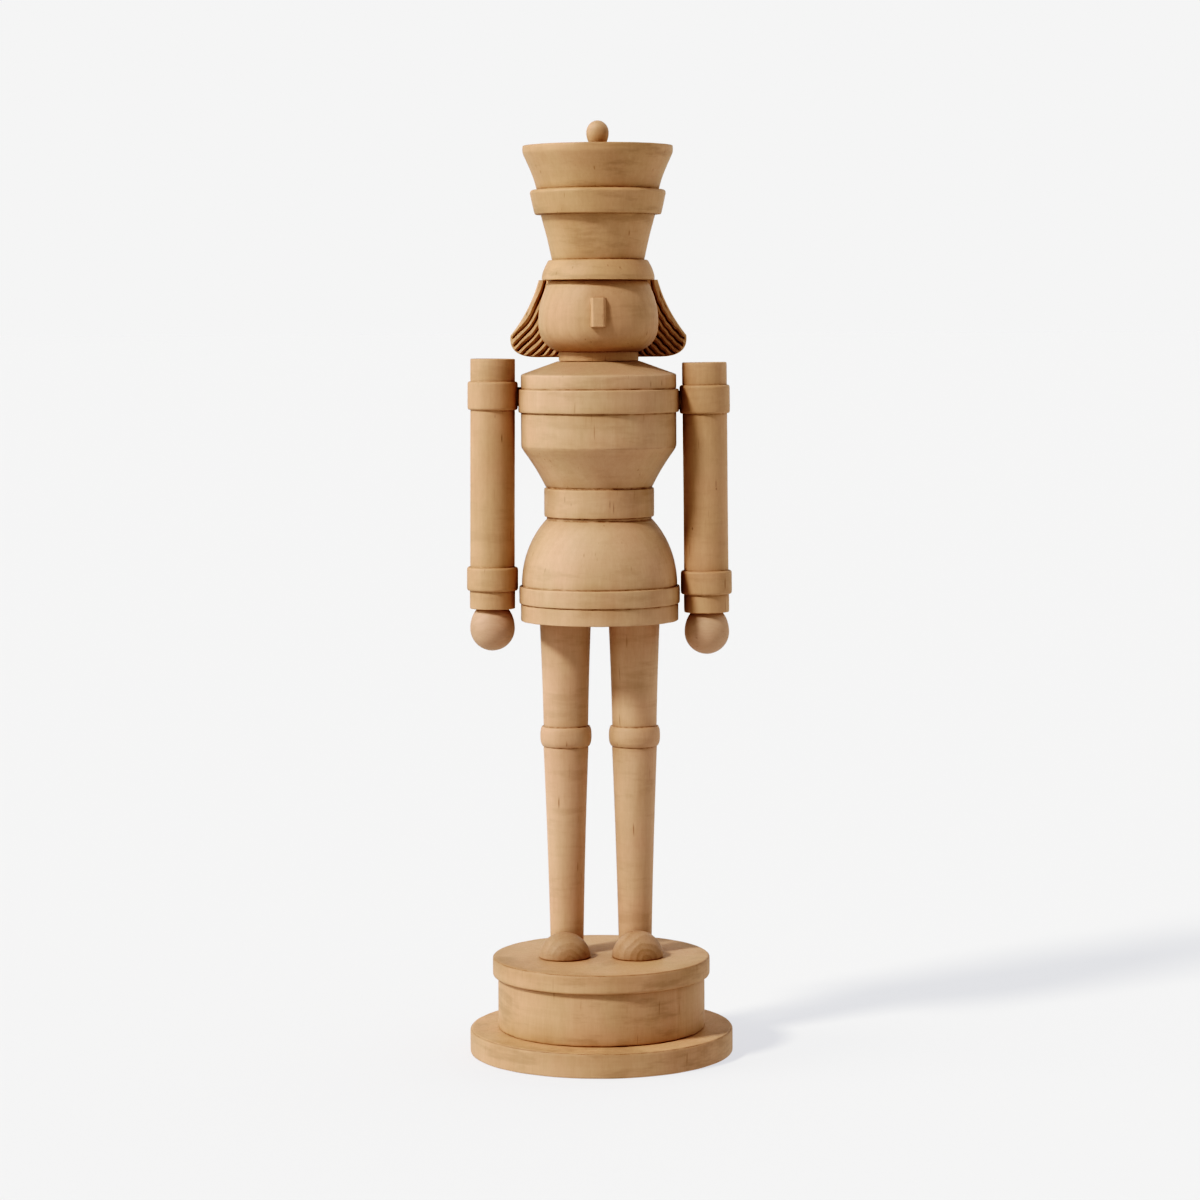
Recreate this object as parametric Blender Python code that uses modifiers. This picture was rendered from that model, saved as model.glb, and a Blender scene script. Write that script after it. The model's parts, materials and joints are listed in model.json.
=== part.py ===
"""Wooden toy soldier: a turned nutcracker-style figure of bare wood on a round two-step base.

Frame: metres, +Z up. The origin is on the ground at the centre of the base, the figure faces -Y,
and its own left is at +X. Each arm swings on one peg that stands out of the shoulder along X.
Outlines of turned pieces are in millimetres and run from the top of the axis down the outside.
"""

import math

import bmesh
import bpy
from mathutils import Vector

MM = 0.001
GAP = 0.3            # mm, left between pieces that touch, turn on each other or are glued
SIDES = {"left": 1, "right": -1}

# Levels of the stack, bottom to top, in mm above the ground.
PLATE_TOP = 8.0
DRUM_TOP = 31.3
TORSO_BOTTOM = 140.4
TORSO_TOP = 223.6
HEAD_TOP = 249.3
HAT_TOP = 292.0
FIGURE_TOP = 300.0

# Radii of the large turned pieces, in mm.
PLATE_RADIUS = 42.65
DRUM_RADIUS = 33.5
DRUM_LIP_RADIUS = 35.2
HEM_RADIUS = 25.35
SKIRT_BAND_RADIUS = 25.85
BELT_RADIUS = 17.65
CHEST_RADIUS = 24.8
CHEST_BAND_RADIUS = 25.55
NECK_RADIUS = 12.75
HEAD_RADIUS = 19.2
BRIM_RADIUS = 18.05
HAT_BAND_RADIUS = 21.95
HAT_RIM_RADIUS = 24.0
FINIAL_RADIUS = 3.6

# Legs and shoes, in mm.
LEG_X = 11.1
LEG_Y = 3.2
LEG_TOP_RADIUS = 8.3
LEG_FOOT_RADIUS = 5.3
KNEE_RADIUS = 8.3
KNEE_TOP = 105.85
KNEE_BOTTOM = 99.25
SHOE_X = 11.8
SHOE_Y = -4.1
SHOE_RADIUS = 8.35
SHOE_HEIGHT = {"left": 8.2, "right": 7.8}
SHOE_HEEL_Y = 1.2

# Arms, in mm. Each hangs from its shoulder peg and leans out a little.
SHOULDER_X = 33.95
SHOULDER_Z = {"left": 211.0, "right": 212.4}
ARM_LEAN = math.radians(0.45)
ARM_RADIUS = 7.15
WRIST_RADIUS = 7.25  # of the arm below its cuff
SHOULDER_BAND_RADIUS = 8.05
CUFF_RADIUS = 8.2
ARM_TOP = 12.1       # above the shoulder peg
ARM_BOTTOM = -68.1   # below the shoulder peg
SHOULDER_BAND = (4.9, -4.3)
CUFF = (-54.6, -62.3)
HAND_RADIUS = 7.2
HAND_LENGTH = 13.3

# Head, nose and hair, in mm.
NAPE_Y = 9.7         # the back of the head is sawn flat here
NOSE_FRONT_WIDTH = 3.6
NOSE_ROOT_WIDTH = 7.4
NOSE_TOP = 243.7
NOSE_BOTTOM = 234.4
NOSE_BROW_Y = -20.1  # the front at its top
NOSE_TIP_Y = -21.8   # the front at its bottom
NOSE_ROOT_Y = -15.0  # the bar is made this deep, then hollowed to sit on the face
HAIR_THICKNESS = 7.5
HAIR_TOP = 249.3
HAIR_BOTTOM = 224.8

# Round pegs: (radius, bottom, top) in mm, on the axis of the pieces that they join.
BASE_PEG = (3.85, 3.3, 17.4)
ANKLE_PEG = (2.5, 23.0, 41.0)
HIP_PEG = (2.5, 130.4, 150.4)
NECK_PEG = (3.85, 214.6, 232.6)
HAT_PEG = (3.0, 241.3, 258.3)
FINIAL_PEG = (1.2, 286.3, 296.3)
WRIST_PEG = (1.5, -75.3, -60.3)
SHOULDER_PEG = (3.0, 14.5, 36.5)   # bottom and top here are distances from the middle plane

# Facets round each kind of turned piece.
BASE_FACETS = 48
BODY_FACETS = 32
LIMB_FACETS = 20
PEG_FACETS = 20
FINIAL_FACETS = 16

LIGHT_WOOD = (0.52, 0.34, 0.19)
LIMB_WOOD = (0.47, 0.30, 0.16)
HAIR_WOOD = (0.36, 0.21, 0.10)
BEAD_WOOD = (0.44, 0.29, 0.16)
PEG_WOOD = (0.60, 0.43, 0.26)
WOOD_ROUGHNESS = 0.7


def clear_scene():
    for piece in list(bpy.data.objects):
        bpy.data.objects.remove(piece)


def new_collection(name):
    collection = bpy.data.collections.new(name)
    bpy.context.scene.collection.children.link(collection)
    return collection


def wood(name, colour):
    """A matt Principled material of one wood colour."""
    material = bpy.data.materials.new(name + "_wood")
    material.use_nodes = True
    shader = material.node_tree.nodes["Principled BSDF"]
    shader.inputs["Base Color"].default_value = (*colour, 1.0)
    shader.inputs["Roughness"].default_value = WOOD_ROUGHNESS
    shader.inputs["Metallic"].default_value = 0.0
    return material


def add_part(piece, colour, parent=None):
    """Puts a finished piece among the parts, with its own material."""
    parts.objects.link(piece)
    piece.data.materials.clear()
    piece.data.materials.append(wood(piece.name, colour))
    piece.parent = parent
    return piece


def add_cutter(piece):
    """Keeps a shape as a cutter only."""
    cutters.objects.link(piece)
    piece.hide_render = True
    piece.display_type = "WIRE"
    return piece


def rounded(points, segments=2):
    """An outline of (r, z) points, where a third number is the size of that corner's rounding."""
    smooth = []
    for index, (radius, height, *rounding) in enumerate(points):
        corner = Vector((radius, height))
        if not rounding:
            smooth.append(corner)
            continue
        before = Vector(points[index - 1][:2]) - corner
        after = Vector(points[index + 1][:2]) - corner
        start = corner + before.normalized() * rounding[0]
        end = corner + after.normalized() * rounding[0]
        for step in range(segments + 1):
            share = step / segments
            smooth.append(start.lerp(corner, share).lerp(corner.lerp(end, share), share))
    return smooth


def bowed(start, end, bow, segments):
    """Points between two outline points, bulging by bow at the middle; both ends left out."""
    inner = []
    for step in range(1, segments):
        share = step / segments
        radius, height = Vector(start).lerp(Vector(end), share)
        inner.append((radius + 4 * bow * share * (1 - share), height))
    return inner


def dome(radius, height, middle, start_angle, end_angle, segments, fullness=2.0):
    """Part of an ellipse round (0, middle), by its angle down from the axis, in degrees.

    A fullness above 2 squares the ellipse off towards its corners.
    """
    points = []
    power = 2 / fullness
    for step in range(segments + 1):
        angle = math.radians(start_angle + (end_angle - start_angle) * step / segments)
        across = max(math.sin(angle), 0) ** power
        along = math.copysign(abs(math.cos(angle)) ** power, math.cos(angle))
        points.append((radius * across, middle + height * along))
    return points


def bore_up(peg, mouth):
    """The end of an outline: a blind hole for a peg, drilled upwards from a bottom face."""
    hole = peg[0] + GAP
    end = peg[2] + GAP
    return [(hole, mouth), (hole, end), (0, end)]


def bore_down(peg, mouth):
    """The start of an outline: a blind hole for a peg, drilled downwards from a top face."""
    hole = peg[0] + GAP
    end = peg[1] - GAP
    return [(0, end), (hole, end), (hole, mouth)]


def turned(name, points, facets):
    """A piece turned on a lathe: its outline screwed once round Z."""
    outline = [(point[0] * MM, 0.0, point[1] * MM) for point in points]
    edges = [(index, index + 1) for index in range(len(outline) - 1)]
    mesh = bpy.data.meshes.new(name)
    mesh.from_pydata(outline, edges, [])
    piece = bpy.data.objects.new(name, mesh)
    screw = piece.modifiers.new("Turning", "SCREW")
    screw.axis = "Z"
    screw.angle = 2 * math.pi
    screw.steps = facets
    screw.render_steps = facets
    screw.use_merge_vertices = True
    screw.merge_threshold = 0.00001
    return piece


def peg(name, size, position, facets=PEG_FACETS):
    """A round wooden peg standing along Z at a place in mm."""
    radius, bottom, top = size
    piece = turned(name, [(0, top), (radius, top), (radius, bottom), (0, bottom)], facets)
    piece.location = Vector(position) * MM
    return piece


def cross_peg(name, size, height, side, facets=PEG_FACETS):
    """A round peg lying along X at a height in mm, on one side of the middle plane."""
    piece = peg(name, size, (0, 0, height), facets)
    piece.rotation_euler.y = side * math.pi / 2
    return piece


def widened(size, growth):
    """The size of the hole for a peg."""
    radius, bottom, top = size
    return (radius + growth, bottom - growth, top + growth)


def block(name, low, high):
    """A box between two corners in mm."""
    mesh = bpy.data.meshes.new(name)
    shape = bmesh.new()
    bmesh.ops.create_cube(shape, size=1.0)
    size = (Vector(high) - Vector(low)) * MM
    middle = (Vector(high) + Vector(low)) * MM / 2
    bmesh.ops.scale(shape, vec=size, verts=shape.verts)
    bmesh.ops.translate(shape, vec=middle, verts=shape.verts)
    shape.to_mesh(mesh)
    shape.free()
    return bpy.data.objects.new(name, mesh)


def cut(piece, *shapes):
    for shape in shapes:
        saw = piece.modifiers.new(shape.name, "BOOLEAN")
        saw.operation = "DIFFERENCE"
        saw.solver = "EXACT"
        saw.object = shape


def shade_round(piece):
    """Settles a piece's modifiers into its mesh, and shades it smooth between its sharp edges."""
    bpy.context.view_layer.update()
    evaluated = piece.evaluated_get(bpy.context.evaluated_depsgraph_get())
    mesh = bpy.data.meshes.new_from_object(evaluated)
    piece.modifiers.clear()
    piece.data = mesh
    mesh.name = piece.name
    mesh.shade_smooth()
    mesh.set_sharp_from_angle(angle=math.radians(35))


def make_base():
    """A flat plate with a drum on it, held together by a central peg."""
    drum_bottom = PLATE_TOP + GAP
    lip_bottom = DRUM_TOP - 6.3
    plate = [
        *bore_down(BASE_PEG, PLATE_TOP),
        (PLATE_RADIUS, PLATE_TOP, 0.8),
        (PLATE_RADIUS, 0, 0.5),
        (0, 0),
    ]
    drum = [
        (0, DRUM_TOP),
        (DRUM_LIP_RADIUS, DRUM_TOP, 0.9),
        (DRUM_LIP_RADIUS, lip_bottom, 0.8),
        (DRUM_RADIUS, lip_bottom),
        (DRUM_RADIUS, drum_bottom),
        *bore_up(BASE_PEG, drum_bottom),
    ]
    add_part(turned("base_plate", rounded(plate), BASE_FACETS), LIGHT_WOOD)
    base_drum = add_part(turned("base_drum", rounded(drum), BASE_FACETS), LIGHT_WOOD)
    add_part(peg("base_peg", BASE_PEG, (0, 0, 0)), PEG_WOOD)
    for side in SIDES:
        cut(base_drum, bpy.data.objects["ankle_bore_" + side])


def leg_outline():
    """A tapered leg with a half-round ring at the knee and a blind hole for a peg in each end."""
    leg_top = TORSO_BOTTOM - GAP
    leg_foot = DRUM_TOP + GAP
    over_knee = (7.2, KNEE_TOP)
    under_knee = (7.3, KNEE_BOTTOM)
    return rounded([
        *bore_down(HIP_PEG, leg_top),
        (LEG_TOP_RADIUS, leg_top),
        *bowed((LEG_TOP_RADIUS, leg_top), over_knee, -0.12, 3),
        over_knee,
        (KNEE_RADIUS - 0.55, KNEE_TOP, 0.3),
        (KNEE_RADIUS - 0.15, KNEE_TOP - 1.1),
        (KNEE_RADIUS, KNEE_TOP - 2.4),
        (KNEE_RADIUS, KNEE_BOTTOM + 2.4),
        (KNEE_RADIUS - 0.2, KNEE_BOTTOM + 1.1),
        (KNEE_RADIUS - 0.7, KNEE_BOTTOM),
        under_knee,
        *bowed(under_knee, (LEG_FOOT_RADIUS, leg_foot), -0.2, 4),
        (LEG_FOOT_RADIUS, leg_foot),
        *bore_up(ANKLE_PEG, leg_foot),
    ])


def make_legs():
    for side, sign in SIDES.items():
        place = (sign * LEG_X, LEG_Y, 0)
        leg = turned("leg_" + side, leg_outline(), LIMB_FACETS)
        leg.location = Vector(place) * MM
        add_part(leg, LIMB_WOOD)
        add_part(peg("ankle_peg_" + side, ANKLE_PEG, place), PEG_WOOD)
        add_part(peg("hip_peg_" + side, HIP_PEG, place), PEG_WOOD)


def make_shoes():
    """Half balls on the drum, hollowed behind to fit round the legs."""
    sole = DRUM_TOP + GAP
    for side, sign in SIDES.items():
        half_ball = [*dome(SHOE_RADIUS, SHOE_HEIGHT[side], sole, 0, 90, 6), (0, sole)]
        shoe = turned("shoe_" + side, half_ball, LIMB_FACETS)
        shoe.location = Vector((sign * SHOE_X, SHOE_Y, 0)) * MM
        cut(shoe, bpy.data.objects["shoe_cove_" + side], bpy.data.objects["heel_saw"])
        add_part(shoe, BEAD_WOOD)


def torso_outline():
    """Shoulders, chest with its band, belt, bell-shaped skirt with its band, and hem."""
    belt_top = 183.1
    belt_bottom = 173.9
    skirt_band_top = 151.7
    skirt_band_bottom = 145.9
    skirt = dome(25.0, 28.6, 152.0, 42.5, 89, 7)
    return rounded([
        *bore_down(NECK_PEG, TORSO_TOP),
        (NECK_RADIUS + 0.4, TORSO_TOP),
        (CHEST_RADIUS, 219.4, 0.8),
        (CHEST_RADIUS, 214.8),
        (CHEST_BAND_RADIUS, 214.8, 0.6),
        (CHEST_BAND_RADIUS, 207.2, 0.6),
        (CHEST_RADIUS, 207.2),
        (CHEST_RADIUS, 196.2),
        (23.7, 194.4),
        *bowed((23.7, 194.4), (17.1, belt_top + 0.3), -0.35, 3),
        (17.1, belt_top + 0.3),
        (17.1, belt_top),
        (BELT_RADIUS, belt_top, 0.45),
        (BELT_RADIUS, belt_bottom, 0.45),
        (16.9, belt_bottom),
        (16.9, belt_bottom - 0.3),
        *skirt,
        (25.0, skirt_band_top),
        (SKIRT_BAND_RADIUS, skirt_band_top, 0.6),
        (SKIRT_BAND_RADIUS, skirt_band_bottom, 0.6),
        (HEM_RADIUS, skirt_band_bottom),
        (HEM_RADIUS, TORSO_BOTTOM),
        (0, TORSO_BOTTOM),
    ])


def make_torso():
    torso = add_part(turned("torso", torso_outline(), BODY_FACETS), LIGHT_WOOD)
    for side in SIDES:
        cut(torso, bpy.data.objects["hip_bore_" + side])
        cut(torso, bpy.data.objects["shoulder_bore_" + side])


def arm_outline():
    """A straight arm with a shoulder band and a cuff, measured from the shoulder peg."""
    band_top, band_bottom = SHOULDER_BAND
    cuff_top, cuff_bottom = CUFF
    return rounded([
        (0, ARM_TOP),
        (ARM_RADIUS, ARM_TOP, 0.3),
        (ARM_RADIUS, band_top),
        (SHOULDER_BAND_RADIUS, band_top, 0.9),
        (SHOULDER_BAND_RADIUS, band_bottom, 0.9),
        (ARM_RADIUS, band_bottom),
        (ARM_RADIUS, cuff_top),
        (CUFF_RADIUS, cuff_top, 0.9),
        (CUFF_RADIUS, cuff_bottom, 0.9),
        (WRIST_RADIUS, cuff_bottom),
        (WRIST_RADIUS, ARM_BOTTOM),
        *bore_up(WRIST_PEG, ARM_BOTTOM),
    ])


def hand_outline():
    """A bead with a flat top against the arm's end."""
    top = ARM_BOTTOM - GAP
    bottom = top - HAND_LENGTH
    middle = bottom + HAND_RADIUS
    full_height = 8.9
    flat_edge = math.degrees(math.acos((top - middle) / full_height))
    upper = dome(HAND_RADIUS, full_height, middle, flat_edge, 90, 4)
    lower = dome(HAND_RADIUS, HAND_RADIUS, middle, 90, 180, 5)
    return [*bore_down(WRIST_PEG, top), *upper[:-1], *lower]


def make_arms():
    """Arm, wrist peg and hand hang from an empty on the shoulder joint's axis."""
    for side, sign in SIDES.items():
        height = SHOULDER_Z[side]
        axis = bpy.data.objects.new("shoulder_axis_" + side, None)
        axis.location = Vector((sign * SHOULDER_X, 0, height)) * MM
        axis.rotation_euler.y = -sign * ARM_LEAN
        parts.objects.link(axis)
        arm = add_part(turned("arm_" + side, arm_outline(), LIMB_FACETS), LIMB_WOOD, axis)
        cut(arm, bpy.data.objects["shoulder_bore_" + side])
        add_part(turned("hand_" + side, hand_outline(), LIMB_FACETS), BEAD_WOOD, axis)
        add_part(peg("wrist_peg_" + side, WRIST_PEG, (0, 0, 0)), PEG_WOOD, axis)
        add_part(cross_peg("shoulder_peg_" + side, SHOULDER_PEG, height, sign), PEG_WOOD)


def head_outline(growth=0.0):
    """The neck and the round head, fuller below the middle."""
    neck_top = 226.7
    middle = 236.0
    crown = dome(HEAD_RADIUS, 22.8, middle, 55, 90, 5)
    jaw = dome(HEAD_RADIUS, 11.2, middle, 103, 141, 4, fullness=2.6)
    outline = [*crown, *jaw, (NECK_RADIUS, neck_top), (NECK_RADIUS, TORSO_TOP + GAP)]
    return [(radius + growth, height) for radius, height in outline]


def make_head():
    """The head is sawn flat behind; pegs hold it to the torso and the hat to it."""
    skin = head_outline()
    outline = [*bore_down(HAT_PEG, HEAD_TOP), (skin[0][0] - 0.5, HEAD_TOP), *skin]
    outline += bore_up(NECK_PEG, TORSO_TOP + GAP)
    head = add_part(turned("head", outline, BODY_FACETS), LIGHT_WOOD)
    cut(head, bpy.data.objects["nape_saw"])
    add_part(peg("neck_peg", NECK_PEG, (0, 0, 0)), PEG_WOOD)


def make_nose():
    """A bar on the face, narrower towards its front, which leans out towards the bottom."""
    low = (-0.5, NOSE_TIP_Y, NOSE_BOTTOM)
    high = (0.5, NOSE_ROOT_Y, NOSE_TOP)
    nose = block("nose", low, high)
    middle_height = (NOSE_BOTTOM + NOSE_TOP) / 2 * MM
    for vertex in nose.data.vertices:
        if vertex.co.y > NOSE_BROW_Y * MM:
            vertex.co.x *= NOSE_ROOT_WIDTH
            continue
        vertex.co.x *= NOSE_FRONT_WIDTH
        if vertex.co.z > middle_height:
            vertex.co.y = NOSE_BROW_Y * MM
    edge = nose.modifiers.new("Softened edges", "BEVEL")
    edge.width = 0.3 * MM
    edge.segments = 2
    cut(nose, bpy.data.objects["face_cutter"])
    add_part(nose, LIGHT_WOOD)


def hair_half_outline():
    """One wing of the bell-shaped hair, from the top middle round to the bottom middle."""
    shoulder = Vector((19.2, HAIR_TOP))
    sweep = Vector((22.2, 239.5))
    tip = Vector((28.4, 231.8))
    wing = []
    for step in range(7):
        share = step / 6
        wing.append(shoulder.lerp(sweep, share).lerp(sweep.lerp(tip, share), share))
    lower = [(28.75, 230.2), (27.5, 227.9), (24.7, 225.6), (20.0, HAIR_BOTTOM)]
    return [*wing, *map(Vector, lower)]


def make_hair():
    """A board of hair, flat against the sawn back of the head."""
    right_half = hair_half_outline()
    left_half = [Vector((-point.x, point.y)) for point in reversed(right_half)]
    outline = [*right_half, *left_half]
    curve = bpy.data.curves.new("hair_outline", "CURVE")
    curve.dimensions = "2D"
    curve.fill_mode = "BOTH"
    curve.extrude = HAIR_THICKNESS / 2 * MM
    spline = curve.splines.new("POLY")
    spline.points.add(len(outline) - 1)
    spline.use_cyclic_u = True
    for point, place in zip(spline.points, outline):
        point.co = (place.x * MM, place.y * MM, 0, 1)
    board = bpy.data.objects.new("hair_outline", curve)
    cutters.objects.link(board)
    board.rotation_euler.x = math.pi / 2
    board.location.y = (NAPE_Y + GAP + HAIR_THICKNESS / 2) * MM
    bpy.context.view_layer.update()
    evaluated = board.evaluated_get(bpy.context.evaluated_depsgraph_get())
    mesh = bpy.data.meshes.new_from_object(evaluated)
    shape = bmesh.new()
    shape.from_mesh(mesh)
    bmesh.ops.remove_doubles(shape, verts=shape.verts, dist=0.00001)
    bmesh.ops.dissolve_limit(
        shape, angle_limit=0.01, verts=shape.verts, edges=shape.edges)
    bmesh.ops.recalc_face_normals(shape, faces=shape.faces)
    shape.to_mesh(mesh)
    shape.free()
    hair = bpy.data.objects.new("hair", mesh)
    hair.matrix_world = board.matrix_world
    bpy.data.objects.remove(board)
    edge = hair.modifiers.new("Worn edges", "BEVEL")
    edge.width = 1.2 * MM
    edge.segments = 2
    edge.angle_limit = math.radians(50)
    add_part(hair, HAIR_WOOD)


def make_hat():
    """A tall hat in one turning: brim, cone, band, flare and rim."""
    brim_bottom = HEAD_TOP + GAP
    brim_top = 255.8
    band_bottom = 270.2
    band_top = 278.1
    hat = rounded([
        *bore_down(FINIAL_PEG, HAT_TOP),
        (HAT_RIM_RADIUS, HAT_TOP, 0.7),
        (HAT_RIM_RADIUS, 289.8, 0.5),
        (21.9, 285.2),
        (20.4, 281.5),
        (19.5, band_top),
        (HAT_BAND_RADIUS, band_top, 1.6),
        (20.2, band_bottom, 0.4),
        (18.3, band_bottom),
        (16.35, 263.5),
        (14.75, brim_top),
        (15.9, brim_top, 0.6),
        (17.6, 252.6),
        (BRIM_RADIUS, 250.3),
        (BRIM_RADIUS, brim_bottom),
        *bore_up(HAT_PEG, brim_bottom),
    ])
    add_part(turned("hat", hat, BODY_FACETS), LIGHT_WOOD)
    add_part(peg("hat_peg", HAT_PEG, (0, 0, 0)), PEG_WOOD)


def make_finial():
    """A small ball on top of the hat, flat where it sits."""
    widest = 296.2
    foot = HAT_TOP + GAP
    upper = dome(FINIAL_RADIUS, FIGURE_TOP - widest, widest, 0, 90, 5)
    lower = dome(FINIAL_RADIUS, 5.2, widest, 107, 137, 2)
    outline = [*upper, *lower, (lower[-1][0], foot), *bore_up(FINIAL_PEG, foot)]
    add_part(turned("finial", outline, FINIAL_FACETS), LIGHT_WOOD)
    add_part(peg("finial_peg", FINIAL_PEG, (0, 0, 0), FINIAL_FACETS), PEG_WOOD)


def make_cutters():
    """Holes for the pegs that don't stand on a turned piece's own axis, and flats and hollows."""
    for side, sign in SIDES.items():
        leg = (sign * LEG_X, LEG_Y, 0)
        hip = widened(HIP_PEG, GAP)
        ankle = widened(ANKLE_PEG, GAP)
        shoulder = widened(SHOULDER_PEG, GAP)
        cove = (LEG_FOOT_RADIUS + 0.2 + GAP, DRUM_TOP - 2, DRUM_TOP + 12)
        height = SHOULDER_Z[side]
        add_cutter(peg("hip_bore_" + side, hip, leg))
        add_cutter(peg("ankle_bore_" + side, ankle, leg))
        add_cutter(peg("shoe_cove_" + side, cove, leg))
        add_cutter(cross_peg("shoulder_bore_" + side, shoulder, height, sign))
    add_cutter(block("heel_saw", (-30, SHOE_HEEL_Y, DRUM_TOP - 2), (30, 20, DRUM_TOP + 12)))
    add_cutter(block("nape_saw", (-30, NAPE_Y, 200), (30, 40, 260)))
    skin = head_outline(growth=GAP)
    face = [(0, 252), (skin[0][0], 252), *skin, (0, TORSO_TOP)]
    add_cutter(turned("face_cutter", face, BODY_FACETS))


clear_scene()
parts = new_collection("wooden_toy_soldier")
cutters = new_collection("cutters")
make_cutters()
make_base()
make_legs()
make_shoes()
make_torso()
make_arms()
make_head()
make_nose()
make_hair()
make_hat()
make_finial()
for part in parts.objects:
    if part.type == "MESH":
        shade_round(part)
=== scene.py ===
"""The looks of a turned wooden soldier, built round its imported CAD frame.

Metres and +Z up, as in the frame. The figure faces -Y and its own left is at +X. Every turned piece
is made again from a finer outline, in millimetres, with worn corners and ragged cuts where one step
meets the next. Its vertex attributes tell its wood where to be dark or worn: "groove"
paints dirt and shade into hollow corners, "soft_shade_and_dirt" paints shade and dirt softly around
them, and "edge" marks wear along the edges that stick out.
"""

import json
import math

import bmesh
import bpy
import numpy as np
from mathutils import Matrix, Vector


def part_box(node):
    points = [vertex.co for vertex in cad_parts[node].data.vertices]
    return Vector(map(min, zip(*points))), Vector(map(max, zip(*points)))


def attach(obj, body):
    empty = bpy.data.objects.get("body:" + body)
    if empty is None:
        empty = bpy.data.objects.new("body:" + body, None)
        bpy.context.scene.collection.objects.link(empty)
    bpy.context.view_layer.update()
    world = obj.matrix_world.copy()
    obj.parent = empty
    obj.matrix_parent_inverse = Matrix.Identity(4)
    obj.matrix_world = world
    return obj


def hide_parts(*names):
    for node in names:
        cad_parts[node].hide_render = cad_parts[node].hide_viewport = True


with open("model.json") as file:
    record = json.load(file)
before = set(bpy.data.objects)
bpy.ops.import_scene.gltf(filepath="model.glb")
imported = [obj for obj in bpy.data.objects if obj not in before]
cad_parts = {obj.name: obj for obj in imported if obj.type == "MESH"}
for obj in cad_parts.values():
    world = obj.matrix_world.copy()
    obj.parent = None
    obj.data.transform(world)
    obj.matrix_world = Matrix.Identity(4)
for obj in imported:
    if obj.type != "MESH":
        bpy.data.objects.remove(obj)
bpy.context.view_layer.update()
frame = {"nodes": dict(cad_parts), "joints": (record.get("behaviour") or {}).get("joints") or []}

MM = 0.001
SIDES = {"left": 1, "right": -1}
CAD_GAP = 0.3           # mm, that the CAD leaves between its solids
GLUE_LINE = 0.04        # mm, left here between pieces that look joined

# How finely outlines are traced, in mm.
FINE_STEP = 0.1
COARSE_STEP = 1.1
STEP_GROWTH = 0.22      # how fast the steps widen away from a corner
SHARP_TURN = math.radians(24)

# How the surface differs from a true turning, in mm.
GROOVE_REACH = 0.28
GROOVE_DEPTH = 0.10
EDGE_REACH = 0.6
EDGE_WEAR = 0.07
SOFT_SHADE_AND_DIRT_REACH = 3.2       # how far painted shade and dirt spread softly from a hollow corner
SWAY = 0.03
TOOL_RIPPLE = 0.006
FUZZ = 0.008

ROUND_FACETS = 224
LIMB_FACETS = 112

# Faces of a box whose corners go round its lower end, then round its upper end.
BOX_FACES = [(3, 2, 1, 0), (4, 5, 6, 7), (0, 1, 5, 4), (1, 2, 6, 5), (2, 3, 7, 6), (3, 0, 4, 7)]


# ---- measures taken from the frame ------------------------------------------------------------


def extent(node):
    """Lowest and highest corner of a CAD node, in mm."""
    low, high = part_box(node)
    return low / MM, high / MM


def centre(node):
    """Middle of a CAD node, in mm."""
    low, high = extent(node)
    return (low + high) / 2


def glued_foot(node):
    """Height of a piece's underside once its CAD gap is closed to a glue line, in mm."""
    return extent(node)[0].z - CAD_GAP + GLUE_LINE


def glued_face(node):
    """Where a piece's front is once its CAD gap is closed to a glue line, in mm."""
    return extent(node)[0].y - CAD_GAP + GLUE_LINE


# ---- outlines and turned pieces ---------------------------------------------------------------


def dome(radius, height, middle, start_angle, end_angle, segments=28, fullness=2.0):
    """Part of an ellipse round (0, middle), by its angle down from the axis, in degrees.

    A fullness above 2 squares the ellipse off towards its corners.
    """
    angle = np.radians(np.linspace(start_angle, end_angle, segments + 1))
    power = 2 / fullness
    across = radius * np.maximum(np.sin(angle), 0) ** power
    along = height * np.sign(np.cos(angle)) * np.abs(np.cos(angle)) ** power
    return list(zip(across.tolist(), (middle + along).tolist()))


def bowed(start, end, bow, segments=12):
    """Points between two outline points, bulging by bow at the middle; both ends left out."""
    inner = []
    for step in range(1, segments):
        share = step / segments
        radius, height = Vector(start).lerp(Vector(end), share)
        inner.append((radius + 4 * bow * share * (1 - share), height))
    return inner


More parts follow.
